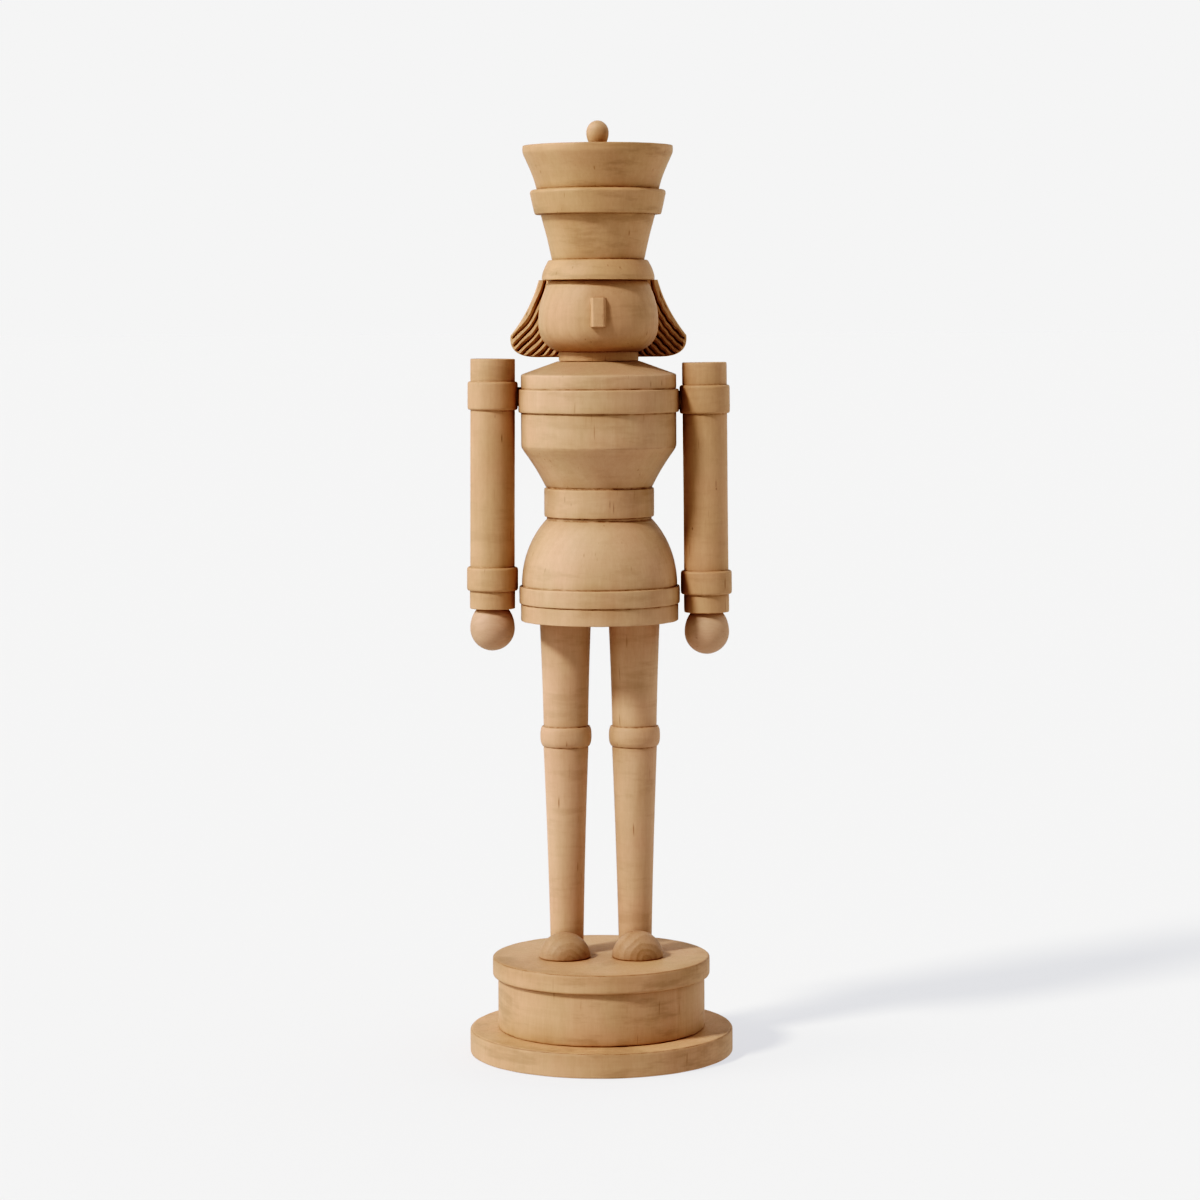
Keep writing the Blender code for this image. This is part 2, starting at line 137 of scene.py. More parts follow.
def traced(outline, rounding_steps=8):
    """Points along an outline, their distances along it, and their dirt and painted shade, edge
    wear, and soft shade and dirt.

    Outline points are (radius, height) in mm, from the top of the axis down the outside. A third
    number is the size of that corner's rounding. A fourth is how strongly dirt and painted shade
    darken
    it: hollows are fully darkened without it, and edges not at all.
    """
    unstated = (0, None)
    outline = [(*point, *unstated[len(point) - 2:]) for point in outline]
    corners = [Vector(point[:2]) for point in outline]
    path = [corners[0]]
    hollows = []
    edges = []
    dirt_and_shade_corners = []
    for index in range(1, len(outline) - 1):
        corner = corners[index]
        before = (corner - corners[index - 1]).normalized()
        after = (corners[index + 1] - corner).normalized()
        turn = math.atan2(before.cross(after), before.dot(after))
        size, dirt_and_shade = outline[index][2:]
        if size:
            start = corner - before * size
            end = corner + after * size
            for step in range(rounding_steps + 1):
                share = step / rounding_steps
                path.append(start.lerp(corner, share).lerp(corner.lerp(end, share), share))
            corner = (start + end) / 4 + corner / 2
        else:
            path.append(corner)
        if turn > SHARP_TURN:
            hollows.append(corner)
            dirt_and_shade_corners.append((corner, 1.0 if dirt_and_shade is None else dirt_and_shade))
        elif turn < -SHARP_TURN:
            edges.append(corner)
            dirt_and_shade_corners.append((corner, dirt_and_shade or 0.0))
    path.append(corners[-1])
    path = np.array(path)
    length = np.concatenate([[0], np.cumsum(np.hypot(*np.diff(path, axis=0).T))])
    marks = np.array([length[np.hypot(*(path - mark).T).argmin()] for mark in hollows + edges])
    stops = [0.0]
    while stops[-1] < length[-1]:
        nearest = np.abs(marks - stops[-1]).min() if len(marks) else COARSE_STEP
        stops.append(stops[-1] + min(COARSE_STEP, FINE_STEP + STEP_GROWTH * nearest))
    stops[-1] = length[-1]
    points = np.stack([np.interp(stops, length, path[:, axis]) for axis in (0, 1)], axis=1)

    def nearness(places, reach):
        """How near each point is to any of the places, from 0 to the place's own strength."""
        near = np.zeros(len(points))
        for place, strength in places:
            distance = np.hypot(*(points - np.array(place)).T)
            near = np.maximum(near, strength * np.exp(-((distance / reach) ** 2)))
        return near

    worn = [(edge, 1.0) for edge in edges]
    return (points, np.array(stops), nearness(dirt_and_shade_corners, GROOVE_REACH), nearness(worn, EDGE_REACH),
            nearness(dirt_and_shade_corners, SOFT_SHADE_AND_DIRT_REACH))


def ragged(draw, angle, along, most_around, shortest, waves=26):
    """A random field over a turned surface, mostly between -1 and 1, that closes on itself."""
    field = np.zeros((along.size, angle.size))
    for _ in range(waves):
        around = draw.integers(0, most_around + 1)
        rate = draw.uniform(-1, 1) * 2 * math.pi / shortest
        start = draw.uniform(0, 2 * math.pi)
        field += np.cos(around * angle[None, :] + rate * along[:, None] + start)
    return field / math.sqrt(waves / 2) / 1.6


def new_piece(name, vertices, faces, attributes):
    """A smooth-shaded mesh object from mm, with its per-vertex attributes."""
    mesh = bpy.data.meshes.new(name)
    mesh.from_pydata((np.asarray(vertices) * MM).tolist(), [], faces)
    for label, values in attributes.items():
        layer = mesh.attributes.new(label, "FLOAT", "POINT")
        layer.data.foreach_set("value", np.asarray(values, np.float32).ravel())
    mesh.shade_smooth()
    mesh.update()
    piece = bpy.data.objects.new(name, mesh)
    bpy.context.scene.collection.objects.link(piece)
    return piece


def turned(name, outline, facets, seed, place=Matrix.Identity(4), wear=1.0):
    """A closed piece turned from an outline, then set in its place (a matrix in mm)."""
    points, along, hollow, edge, near_hollow = traced(outline)
    draw = np.random.default_rng(seed)
    angle = np.arange(facets) * 2 * math.pi / facets
    tangent = np.gradient(points, axis=0)
    tangent /= np.maximum(np.hypot(*tangent.T), 1e-9)[:, None]
    normal = np.stack([-tangent[:, 1], tangent[:, 0]], axis=1)

    coarse = ragged(draw, angle, along, 3, 60)
    medium = ragged(draw, angle, along, 26, 9)
    fine = ragged(draw, angle, along, facets // 3, 0.9)
    rings = ragged(draw, angle, along, 0, 1.4)
    # Dirt and painted shade in hollow corners; the same mask also sinks the groove a little.
    groove = hollow[:, None] * np.clip(0.75 + 0.35 * fine + 0.3 * medium, 0, 1.3)
    worn = edge[:, None] * np.clip(0.7 + 0.5 * medium + 0.15 * fine, 0.1, 1.6)
    offset = SWAY * coarse + TOOL_RIPPLE * rings + FUZZ * fine
    offset -= GROOVE_DEPTH * groove + EDGE_WEAR * wear * worn
    offset *= np.clip(points[:, :1] / 2, 0, 1)      # nothing is worn away near the axis

    radius = np.maximum(points[:, :1] + normal[:, :1] * offset, 0)
    height = points[:, 1:] + normal[:, 1:] * offset
    x = radius * np.cos(angle)
    y = radius * np.sin(angle)
    rows = len(points)
    body = np.stack([x, y, height], axis=2)[1:-1].reshape(-1, 3)
    poles = [[0, 0, points[0, 1]], [0, 0, points[-1, 1]]]
    vertices = np.concatenate([body, poles])
    vertices = vertices @ np.array(place.to_3x3()).T + np.array(place.translation)

    here = np.arange(facets)
    beside = (here + 1) % facets
    faces = []
    for row in range(rows - 3):
        upper = row * facets
        lower = upper + facets
        faces += np.stack(
            [upper + here, lower + here, lower + beside, upper + beside], axis=1).tolist()
    top = len(body)
    bottom = top + 1
    last = (rows - 3) * facets
    faces += [[top, a, b] for a, b in zip(here.tolist(), beside.tolist())]
    faces += [[bottom, last + b, last + a] for a, b in zip(here.tolist(), beside.tolist())]

    def on_vertices(values):
        return np.concatenate([values[1:-1].ravel(), [0, 0]])

    return new_piece(name, vertices, faces, {
        "groove": on_vertices(np.clip(groove, 0, 1)),
        "edge": on_vertices(np.clip(worn, 0, 1)),
        # Painted shade and dirt, spread softly round hollows.
        "soft_shade_and_dirt": on_vertices(np.clip(near_hollow[:, None] * (0.7 + 0.4 * coarse), 0, 1)),
    })


# ---- wood -------------------------------------------------------------------------------------


# Sockets of a mix node that mixes colours.
MIX_SHARE = 0
MIX_COLOURS = (6, 7)
MIX_RESULT = 2


class Recipe:
    """One material's nodes, wired as they are made. Values are sockets, numbers or tuples."""

    def __init__(self, name):
        self.material = bpy.data.materials.new(name)
        self.material.use_nodes = True
        self.tree = self.material.node_tree
        self.shader = self.tree.nodes["Principled BSDF"]

    def plug(self, socket, value):
        """Links another node's output to a socket, or sets the socket's own value."""
        if isinstance(value, bpy.types.NodeSocket):
            self.tree.links.new(value, socket)
        else:
            socket.default_value = value

    def node(self, kind, inputs, output=0, **settings):
        """Makes a node from its inputs and settings, and returns one of its outputs."""
        made = self.tree.nodes.new(kind)
        for label, value in settings.items():
            setattr(made, label, value)
        for label, value in inputs.items():
            self.plug(made.inputs[label], value)
        return made.outputs[output]

    def math(self, operation, first, second=0.0, third=0.0, clamp=False):
        inputs = {0: first, 1: second, 2: third}
        return self.node("ShaderNodeMath", inputs, operation=operation, use_clamp=clamp)

    def vector(self, operation, first, second=(0, 0, 0), output=0):
        inputs = {0: first, 1: second}
        return self.node("ShaderNodeVectorMath", inputs, output, operation=operation)

    def scaled(self, vector, amounts):
        return self.vector("MULTIPLY", vector, amounts)

    def noise(self, vector, detail=2.0, roughness=0.5, output="Fac"):
        inputs = {"Vector": vector, "Scale": 1.0, "Detail": detail, "Roughness": roughness}
        return self.node("ShaderNodeTexNoise", inputs, output)

    def ramp(self, value, low, high, to_low=0.0, to_high=1.0):
        """Goes smoothly from to_low at low to to_high at high, which may be below low."""
        inputs = {0: value, 1: low, 2: high, 3: to_low, 4: to_high}
        return self.node("ShaderNodeMapRange", inputs, interpolation_type="SMOOTHSTEP")

    def tint(self, share, first, second, blend="MIX"):
        """Mixes two colours, which are sockets or (red, green, blue)."""
        made = self.tree.nodes.new("ShaderNodeMix")
        made.data_type = "RGBA"
        made.blend_type = blend
        self.plug(made.inputs[MIX_SHARE], share)
        for socket, colour in zip(MIX_COLOURS, (first, second)):
            self.plug(made.inputs[socket], (*colour, 1.0) if isinstance(colour, tuple) else colour)
        return made.outputs[MIX_RESULT]


# Rotations that lay a grain along each axis onto Z.
GRAIN_TURNS = {
    "x": (0, math.pi / 2, 0),
    "y": (math.pi / 2, 0, 0),
    "z": (0, 0, 0),
}

# Colours of the light and the dark wood in each part of the figure.
WOODS = {
    "body": {"light": (0.482, 0.322, 0.214), "dark": (0.366, 0.230, 0.143)},
    "base": {"light": (0.455, 0.295, 0.190), "dark": (0.345, 0.212, 0.126)},
    "hat": {"light": (0.450, 0.290, 0.178), "dark": (0.335, 0.205, 0.116)},
    "face": {"light": (0.442, 0.284, 0.180), "dark": (0.330, 0.201, 0.119)},
    "leg": {"light": (0.490, 0.318, 0.215), "dark": (0.375, 0.234, 0.148)},
    "arm": {"light": (0.465, 0.298, 0.190), "dark": (0.345, 0.210, 0.124)},
    "hand": {"light": (0.480, 0.318, 0.226), "dark": (0.360, 0.224, 0.148)},
    "shoe": {"light": (0.395, 0.260, 0.175), "dark": (0.245, 0.148, 0.083)},
    "hair": {"light": (0.500, 0.325, 0.205), "dark": (0.330, 0.195, 0.108)},
    "peg": {"light": (0.520, 0.380, 0.230), "dark": (0.400, 0.260, 0.140)},
    # Shoulder pegs painted dark, as the shade between arm and body.
    "painted_shade_peg": {"light": (0.240, 0.140, 0.075), "dark": (0.150, 0.082, 0.040)},
}
# Dirt and painted shade in hollow corners of turned pieces.
GROOVE_DIRT_AND_SHADE_COLOUR = (0.20, 0.110, 0.055)
# Painted shade in the hair's carved grooves.
CARVED_GROOVE_SHADE_COLOUR = (0.110, 0.055, 0.026)
# Painted shade and dirt spread softly round hollows.
SOFT_SHADE_AND_DIRT_COLOUR = (0.27, 0.155, 0.075)
PORE_COLOUR = (0.16, 0.080, 0.036)
CRACK_COLOUR = (0.07, 0.034, 0.015)
CRACK_STRENGTH = 0.45
STAIN_COLOUR = (0.240, 0.150, 0.082)
PINKISH = (1.015, 0.990, 0.975)
OLIVE = (0.985, 1.005, 0.965)
LOG_SPACING = 37.0      # mm between two pieces' places in the grain

# Small cracks and knots on the front: x, height, half-width and half-length, in mm.
BODY_CRACKS = [
    (16.4, 216.5, 0.15, 1.6),
    (19.9, 216.8, 0.15, 1.3),
    (3.4, 178.5, 0.18, 1.8),
    (4.6, 177.3, 0.20, 2.4),
    (-10.9, 180.0, 0.15, 1.4),
    (-8.9, 178.5, 0.14, 0.6),
]
ARM_CRACKS = {
    "left": [(37.3, 184.4, 0.16, 1.7), (37.4, 182.8, 0.28, 0.5), (29.8, 170.1, 0.35, 0.7)],
    "right": [(-30.9, 199.2, 0.30, 1.8), (-33.0, 206.3, 0.15, 0.9)],
}


def grain_turned(recipe, vector, grain):
    """A direction or place, turned so that the grain runs along Z."""
    inputs = {"Vector": vector, "Rotation": GRAIN_TURNS[grain]}
    return recipe.node("ShaderNodeVectorRotate", inputs, rotation_type="EULER_XYZ")


def part(recipe, vector, letter):
    """One of a vector's three numbers."""
    split = recipe.tree.nodes.new("ShaderNodeSeparateXYZ")
    recipe.plug(split.inputs[0], vector)
    return split.outputs[letter]


def from_line(recipe, vector):
    """Distance from the Z axis."""
    return recipe.vector("LENGTH", recipe.scaled(vector, (1, 1, 0)), output="Value")


def growth(recipe, log, ring_width):
    """How the tree grew: its wavering, the log bent by it, and the dark late wood of its rings."""
    warp = recipe.noise(recipe.scaled(log, (0.035, 0.035, 0.009)), 3, 0.55, "Color")
    warp = recipe.scaled(recipe.vector("SUBTRACT", warp, (0.5, 0.5, 0.5)), (9, 9, 0))
    bent = recipe.vector("ADD", log, warp)
    ring = recipe.math("FRACT", recipe.math("DIVIDE", from_line(recipe, bent), ring_width))
    late = recipe.math("MULTIPLY", recipe.ramp(ring, 0.1, 0.85), recipe.ramp(ring, 1.0, 0.8))
    strength = recipe.noise(recipe.scaled(log, (0.05, 0.05, 0.02)), 2, 0.5)
    late = recipe.math("MULTIPLY", late, recipe.ramp(strength, 0.35, 0.65, 0.25, 1.0))
    return warp, bent, late


def open_pores(recipe, bent):
    """Short dark pores along the grain, in some of the cells and not in others."""
    cell = {"Vector": recipe.scaled(bent, (0.62, 0.62, 0.052)), "Scale": 1.0}
    distance = recipe.node("ShaderNodeTexVoronoi", cell, "Distance")
    chance = recipe.node("ShaderNodeTexVoronoi", cell, "Color")
    return recipe.math("MULTIPLY", recipe.ramp(distance, 0.17, 0.06), recipe.ramp(chance, 0.45, 0.8))


def tool_marks(recipe, place, axis):
    """Fine rings that the turning tool left round the piece's axis."""
    out = from_line(recipe, recipe.vector("SUBTRACT", place, (*axis, 0)))
    feed = recipe.math("ADD", out, part(recipe, place, "Z"))
    feed = recipe.node("ShaderNodeCombineXYZ", {"X": recipe.math("MULTIPLY", feed, 2.1)})
    return recipe.noise(feed, 4, 0.7)


def layered(recipe, shade, pattern, amount):
    """Adds a pattern to a shade; where the pattern is 0.5 it changes nothing."""
    return recipe.math("MULTIPLY_ADD", recipe.math("SUBTRACT", pattern, 0.5), amount, shade)


def gathered(recipe, label, pattern, least, most, clamp=False):
    """A vertex attribute, made patchy by a pattern."""
    amount = recipe.node("ShaderNodeAttribute", {}, "Fac", attribute_name=label)
    return recipe.math("MULTIPLY", amount, recipe.ramp(pattern, 0.3, 0.7, least, most), clamp=clamp)


def cracked(recipe, colour, place, warp, cracks):
    """Darkens thin, slightly wavy ovals on the front of a piece."""
    wavy = recipe.vector("ADD", place, recipe.scaled(warp, (0.04, 0, 0)))
    on_front = recipe.math("LESS_THAN", part(recipe, place, "Y"), 0.0)
    for x, height, half_width, half_length in cracks:
        offset = recipe.vector("SUBTRACT", wavy, (x, 0, height))
        offset = recipe.scaled(offset, (1 / half_width, 0, 1 / half_length))
        near = recipe.ramp(recipe.vector("LENGTH", offset, output="Value"), 1.0, 0.3)
        near = recipe.math("MULTIPLY", near, on_front)
        colour = recipe.tint(recipe.math("MULTIPLY", near, CRACK_STRENGTH), colour, CRACK_COLOUR)
    return colour


def wood(kind, name, seed, pith=(0, 60, 0), grain="z", ring_width=3.2, figure=0.1,
         fibre=0.35, pores=0.5, turning=0.3, axis=(0, 0), cracks=(), stain=0.2,
         pale_ends=1.0, groove_colour=GROOVE_DIRT_AND_SHADE_COLOUR):
    """Bare, sanded wood with rings round a pith, fibres, pores and the marks of turning.

    The pith is a point, in mm, that the middle of the tree runs through along the grain, and the
    axis is where the piece was turned. Figure, fibre, pores, turning and stain say how strongly
    the rings, the fibres, the pores, the tool's marks and the smudges show. Painted light on ends
    scales the colour of faces across the grain: above 1 it paints light on them as from above, and
    below 1 it paints shade on them.
    """
    tone = WOODS[kind]
    recipe = Recipe(name + "_" + kind)
    source = recipe.tree.nodes.new("ShaderNodeTexCoord")
    place = recipe.scaled(source.outputs["Object"], (1 / MM, 1 / MM, 1 / MM))
    log = grain_turned(recipe, recipe.vector("SUBTRACT", place, pith), grain)
    log = recipe.vector("ADD", log, (0, 0, seed * LOG_SPACING))
    warp, bent, late = growth(recipe, log, ring_width)
    pore = open_pores(recipe, bent)
    turn_mark = tool_marks(recipe, place, axis)
    facing = grain_turned(recipe, source.outputs["Normal"], grain)
    end_grain = recipe.ramp(recipe.math("ABSOLUTE", part(recipe, facing, "Z")), 0.5, 1.0)

    # Patterns at rising fineness: along the tree, and round the piece.
    blotch = recipe.noise(recipe.scaled(log, (0.07, 0.07, 0.045)), 3, 0.55)
    streak = recipe.noise(recipe.scaled(bent, (0.55, 0.55, 0.014)), 4, 0.62)
    mottle = recipe.noise(recipe.scaled(log, (1.1, 1.1, 0.35)), 3, 0.7)
    thread = recipe.noise(recipe.scaled(bent, (3.4, 3.4, 0.10)), 3, 0.6)
    speckle = recipe.noise(recipe.scaled(bent, (5.5, 5.5, 5.5)), 2, 0.6)
    burnish = recipe.noise(recipe.scaled(place, (0.05, 0.05, 0.75)), 3, 0.6)

    # From light wood to dark wood.
    shade = recipe.math("MULTIPLY", late, figure)
    shade = layered(recipe, shade, streak, fibre * 1.1)
    shade = layered(recipe, shade, thread, fibre * 0.7)
    shade = layered(recipe, shade, blotch, 0.9)
    shade = layered(recipe, shade, burnish, turning * 0.9)
    shade = layered(recipe, shade, turn_mark, turning * 0.5)
    shade = layered(recipe, shade, mottle, 0.5)
    shade = recipe.math("MULTIPLY_ADD", end_grain, 0.25, shade)
    shade = recipe.math("ADD", shade, 0.28, clamp=True)
    colour = recipe.tint(shade, tone["light"], tone["dark"])
    patch = recipe.noise(recipe.scaled(log, (0.07, 0.07, 0.05)), 2, 0.5, "Color")
    hue = recipe.tint(recipe.ramp(patch, 0.35, 0.65), PINKISH, OLIVE)
    colour = recipe.tint(1.0, colour, hue, "MULTIPLY")
    # Faces across the grain are painted lighter or darker, standing in for light from above.
    painted_ends = recipe.scaled(colour, (pale_ends, pale_ends, pale_ends))
    colour = recipe.tint(end_grain, colour, painted_ends)

    # Smudges, pores, worn edges, soft painted shade and dirt, dirt and painted shade in grooves, and
    # cracks.
    smudge = recipe.noise(recipe.scaled(place, (0.045, 0.045, 0.20)), 4, 0.65)
    smudge = recipe.math("MULTIPLY", recipe.ramp(smudge, 0.5, 0.68), stain)
    colour = recipe.tint(smudge, colour, STAIN_COLOUR)
    speck = recipe.math("MULTIPLY", end_grain, recipe.ramp(speckle, 0.5, 0.75))
    dots = recipe.math("MULTIPLY", pore, pores, clamp=True)
    dots = recipe.math("MULTIPLY_ADD", speck, 0.22, dots, clamp=True)
    colour = recipe.tint(dots, colour, PORE_COLOUR)
    bare = tuple(min(1, 1.1 * channel) for channel in tone["light"])
    colour = recipe.tint(gathered(recipe, "edge", thread, 0.0, 0.25), colour, bare)
    # Soft painted shade and dirt round hollow corners.
    colour = recipe.tint(gathered(recipe, "soft_shade_and_dirt", blotch, 0.12, 0.5), colour, SOFT_SHADE_AND_DIRT_COLOUR)
    # Dirt and painted shade in grooves and hollow corners.
    dirt_and_shade = gathered(recipe, "groove", speckle, 0.45, 1.0, clamp=True)
    colour = recipe.tint(dirt_and_shade, colour, groove_colour)
    if cracks:
        colour = cracked(recipe, colour, place, warp, cracks)

    rough = recipe.ramp(thread, 0.3, 0.7, 0.56, 0.70)
    rough = recipe.math("MULTIPLY_ADD", dots, 0.15, rough)
    relief = recipe.math("MULTIPLY_ADD", thread, 0.5, recipe.math("MULTIPLY", pore, -0.6))
    relief = recipe.math("MULTIPLY_ADD", turn_mark, turning * 0.7, relief)
    relief = recipe.math("MULTIPLY_ADD", speckle, 0.25, relief)
    height = {"Height": relief, "Strength": 0.35, "Distance": 0.08 * MM}
    recipe.plug(recipe.shader.inputs["Base Color"], colour)
    recipe.plug(recipe.shader.inputs["Roughness"], rough)
    recipe.plug(recipe.shader.inputs["Normal"], recipe.node("ShaderNodeBump", height))
    recipe.shader.inputs["Specular IOR Level"].default_value = 0.3
    return recipe.material


def finish_piece(piece, node, body, slot, kind, **look):
    """Gives a piece its wood and puts it in place of its CAD node."""
    piece.data.materials.append(wood(kind, node, **look))
    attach(piece, body)
    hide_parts(node)


# ---- the base ---------------------------------------------------------------------------------


def make_base():
    """A thin round plate, and a drum on it with a lip round its top."""
    plate_low, plate_high = extent("base_plate")
    drum_high = extent("base_drum")[1]
    drum_foot = plate_high.z + GLUE_LINE
    lip_foot = drum_high.z - 6.3
    drum_radius = drum_high.x - 1.7
    plate = [
        (0, plate_high.z),
        (plate_high.x, plate_high.z, 0.8, 1.0),
        (plate_high.x, plate_low.z, 0.5),
        (0, plate_low.z),
    ]
    drum = [
        (0, drum_high.z),
        (drum_high.x, drum_high.z, 0.7, 1.0),
        (drum_high.x, lip_foot, 0.8),
        (drum_radius, lip_foot, 0.25, 0.35),
        (drum_radius, drum_foot, 0.15, 1.0),
        (0, drum_foot),
    ]
    # The plate's and drum's tops are painted lighter, as light from above.
    piece = turned("plate", plate, ROUND_FACETS, 11)
    finish_piece(piece, "base_plate", "figure", "body_wood", "base", seed=1, pith=(-70, 40, 0),
                 pores=0.45, turning=0.42, stain=0.4, pale_ends=1.25)
    piece = turned("drum", drum, ROUND_FACETS, 12)
    finish_piece(piece, "base_drum", "figure", "body_wood", "base", seed=2, pith=(25, 75, 0),
                 pores=0.4, turning=0.42, stain=0.4, pale_ends=1.08)


# ---- legs and shoes ---------------------------------------------------------------------------


LEG_TOP_RADIUS = 8.3       # these three in mm
LEG_FOOT_RADIUS = 5.3
KNEE_RADIUS = 8.3


def make_legs():
    """Tapered legs with a bead for a knee, standing side by side under the hem."""
    for number, (side, sign) in enumerate(SIDES.items()):
        node = "leg_" + side
        low, high = extent(node)
        middle = centre(node)
        foot = glued_foot(node)
        top = high.z + CAD_GAP - GLUE_LINE
        over_knee = (7.2, low.z + 74.25)
        under_knee = (7.3, low.z + 67.65)
        outline = [
            (0, top),
            (LEG_TOP_RADIUS, top, 0.25),
            *bowed((LEG_TOP_RADIUS, top), over_knee, -0.12),
            (*over_knee, 0, 0.7),
            (KNEE_RADIUS - 0.55, over_knee[1], 0.3),
            (KNEE_RADIUS - 0.15, over_knee[1] - 1.1, 0.5),
            (KNEE_RADIUS, over_knee[1] - 2.4, 0.6),
            (KNEE_RADIUS, under_knee[1] + 2.4, 0.6),
            (KNEE_RADIUS - 0.2, under_knee[1] + 1.1, 0.5),
            (KNEE_RADIUS - 0.7, under_knee[1], 0.2),
            (*under_knee, 0, 0.7),
            *bowed(under_knee, (LEG_FOOT_RADIUS, foot), -0.2),
            (LEG_FOOT_RADIUS, foot, 0.2),
            (0, foot),
        ]
        place = Matrix.Translation((middle.x, middle.y, 0))
        piece = turned(side + "_leg", outline, LIMB_FACETS, 21 + number, place)
        finish_piece(piece, node, "figure", "limb_wood", "leg", seed=3 + number,
                     pith=(middle.x + sign * 22, 40, 0), pores=0.6, turning=0.25,
                     axis=(middle.x, middle.y))


def settled(piece):
    """Turns a piece's modifiers into its mesh."""
    bpy.context.view_layer.update()
    evaluated = piece.evaluated_get(bpy.context.evaluated_depsgraph_get())
    mesh = bpy.data.meshes.new_from_object(evaluated)
    piece.modifiers.clear()
    piece.data = mesh
    mesh.name = piece.name
    mesh.shade_smooth()


def carved(piece, cutters, grain_size, smoothing):
    """Cuts shapes out of a piece, then softens every cut a little, as sanding does."""
    for cutter in cutters:
        saw = piece.modifiers.new(cutter.name, "BOOLEAN")
        saw.operation = "DIFFERENCE"
        saw.solver = "EXACT"
        saw.object = cutter
    skin = piece.modifiers.new("Even mesh", "REMESH")
    skin.mode = "VOXEL"
    skin.voxel_size = grain_size * MM
    sanding = piece.modifiers.new("Sanding", "SMOOTH")
    sanding.factor = 0.5
    sanding.iterations = smoothing
    settled(piece)
    for cutter in cutters:
        bpy.data.objects.remove(cutter)


def block(name, low, high):
    """A box between two corners in mm."""
    (x0, y0, z0), (x1, y1, z1) = low, high
    corners = [(x0, y0, z0), (x1, y0, z0), (x1, y1, z0), (x0, y1, z0),
               (x0, y0, z1), (x1, y0, z1), (x1, y1, z1), (x0, y1, z1)]
    return new_piece(name, corners, BOX_FACES, {})


def add_values(piece, label, values):
    """Gives a piece a vertex attribute, held between 0 and 1."""
    layer = piece.data.attributes.new(label, "FLOAT", "POINT")
    layer.data.foreach_set("value", np.clip(values, 0, 1).astype(np.float32))


def places(piece):
    """A piece's vertices in mm."""
    flat = np.empty(len(piece.data.vertices) * 3, np.float32)
    piece.data.vertices.foreach_get("co", flat)
    return flat.reshape(-1, 3).astype(float) / MM


def make_shoes():
    """Half balls on the drum, sawn and hollowed behind to fit round the legs."""
    for number, side in enumerate(SIDES):
        node = "shoe_" + side
        low, high = extent(node)
        radius = (high.x - low.x) / 2
        middle = Vector((centre(node).x, low.y + radius, 0))
        leg = centre("leg_" + side)
        sole = glued_foot(node)
        outline = [*dome(radius, high.z - sole, sole, 0, 88), (radius, sole, 0.15), (0, sole)]
        place = Matrix.Translation(middle)
        piece = turned(side + "_shoe", outline, LIMB_FACETS, 31 + number, place, wear=0.3)
        over = sole + 12
        under = sole - 2
        round_leg = [
            (0, over),
            (LEG_FOOT_RADIUS + 0.35, over),
            (LEG_FOOT_RADIUS + 0.25, under),
            (0, under),
        ]
        cove = turned("cove", round_leg, LIMB_FACETS, 33, Matrix.Translation((leg.x, leg.y, 0)))
        heel = block("heel", (middle.x - 12, high.y, under), (middle.x + 12, 20, over))
        carved(piece, [cove, heel], 0.16, 4)
        above_sole = places(piece)[:, 2] - sole
        # Dirt and painted shade along the line where the shoe sits on the drum.
        add_values(piece, "groove", 0.9 * np.exp(-((above_sole / 0.35) ** 2)))
        finish_piece(piece, node, "figure", "bead_wood", "shoe", seed=5 + number,
                     pith=(middle.x + 2, 0, sole - 0.5), grain="y", ring_width=1.9, figure=0.3,
                     pores=0.25, turning=0.15, axis=(middle.x, middle.y))


# ---- torso ------------------------------------------------------------------------------------


def make_torso():
    """Skirt, belt and chest in one turning, with a band round the chest and one round the skirt."""
    low, high = extent("torso")
    base = low.z
    skirt_band = high.x
    hem = skirt_band - 0.5
    skirt = 25.0
    waist_below = 16.9
    belt = 17.65
    waist_above = 17.1
    ribs = skirt_band - 2.15
    chest = skirt_band - 0.95
    chest_band = skirt_band - 0.1
    neck = 13.2
    outline = [
        (0, high.z),
        (neck, high.z, 0.2),
        (chest, base + 79.0, 0.5),
        (chest, base + 74.4),
        (chest_band, base + 74.4, 0.6),
        (chest_band, base + 66.8, 0.6),
        (chest, base + 66.8),
        (chest, base + 55.8, 0.35, 0.3),
        (ribs, base + 54.0, 0.3),
        *bowed((ribs, base + 54.0), (waist_above, base + 43.0), -0.35),
        (waist_above, base + 43.0),
        (waist_above, base + 42.7),
        (belt, base + 42.7, 0.35),
        (belt, base + 33.5, 0.35),
        (waist_below, base + 33.5),
        (waist_below, base + 33.2),
        *dome(skirt, 28.6, base + 11.6, 42.5, 89),
        (skirt, base + 11.3),
        (skirt_band, base + 11.3, 0.6),
        (skirt_band, base + 5.5, 0.6),
        (hem, base + 5.5),
        (hem, base, 0.3),
        (0, base),
    ]
    piece = turned("body", outline, ROUND_FACETS, 41)
    # Faces across the grain, such as the shoulders, are painted a little darker, as shade.
    finish_piece(piece, "torso", "figure", "body_wood", "body", seed=7,
                 pith=(-14, 70, 0), pores=0.42, cracks=BODY_CRACKS, pale_ends=0.88)


# ---- arms and hands ---------------------------------------------------------------------------


ARM_RADIUS = 7.15          # these four in mm
WRIST_RADIUS = ARM_RADIUS + 0.1
SHOULDER_BAND_RADIUS = 8.05
CUFF_RADIUS = 8.2
ARM_TOP = 12.1             # these six are heights above the shoulder's joint, in mm
SHOULDER_BAND_TOP = 4.9
SHOULDER_BAND_FOOT = -4.3
CUFF_TOP = -54.6
CUFF_FOOT = -62.3
ARM_FOOT = -68.1
HAND_RADIUS = 7.2
HAND_RISE = 8.9            # of the hand's upper half, were it not cut off at the arm


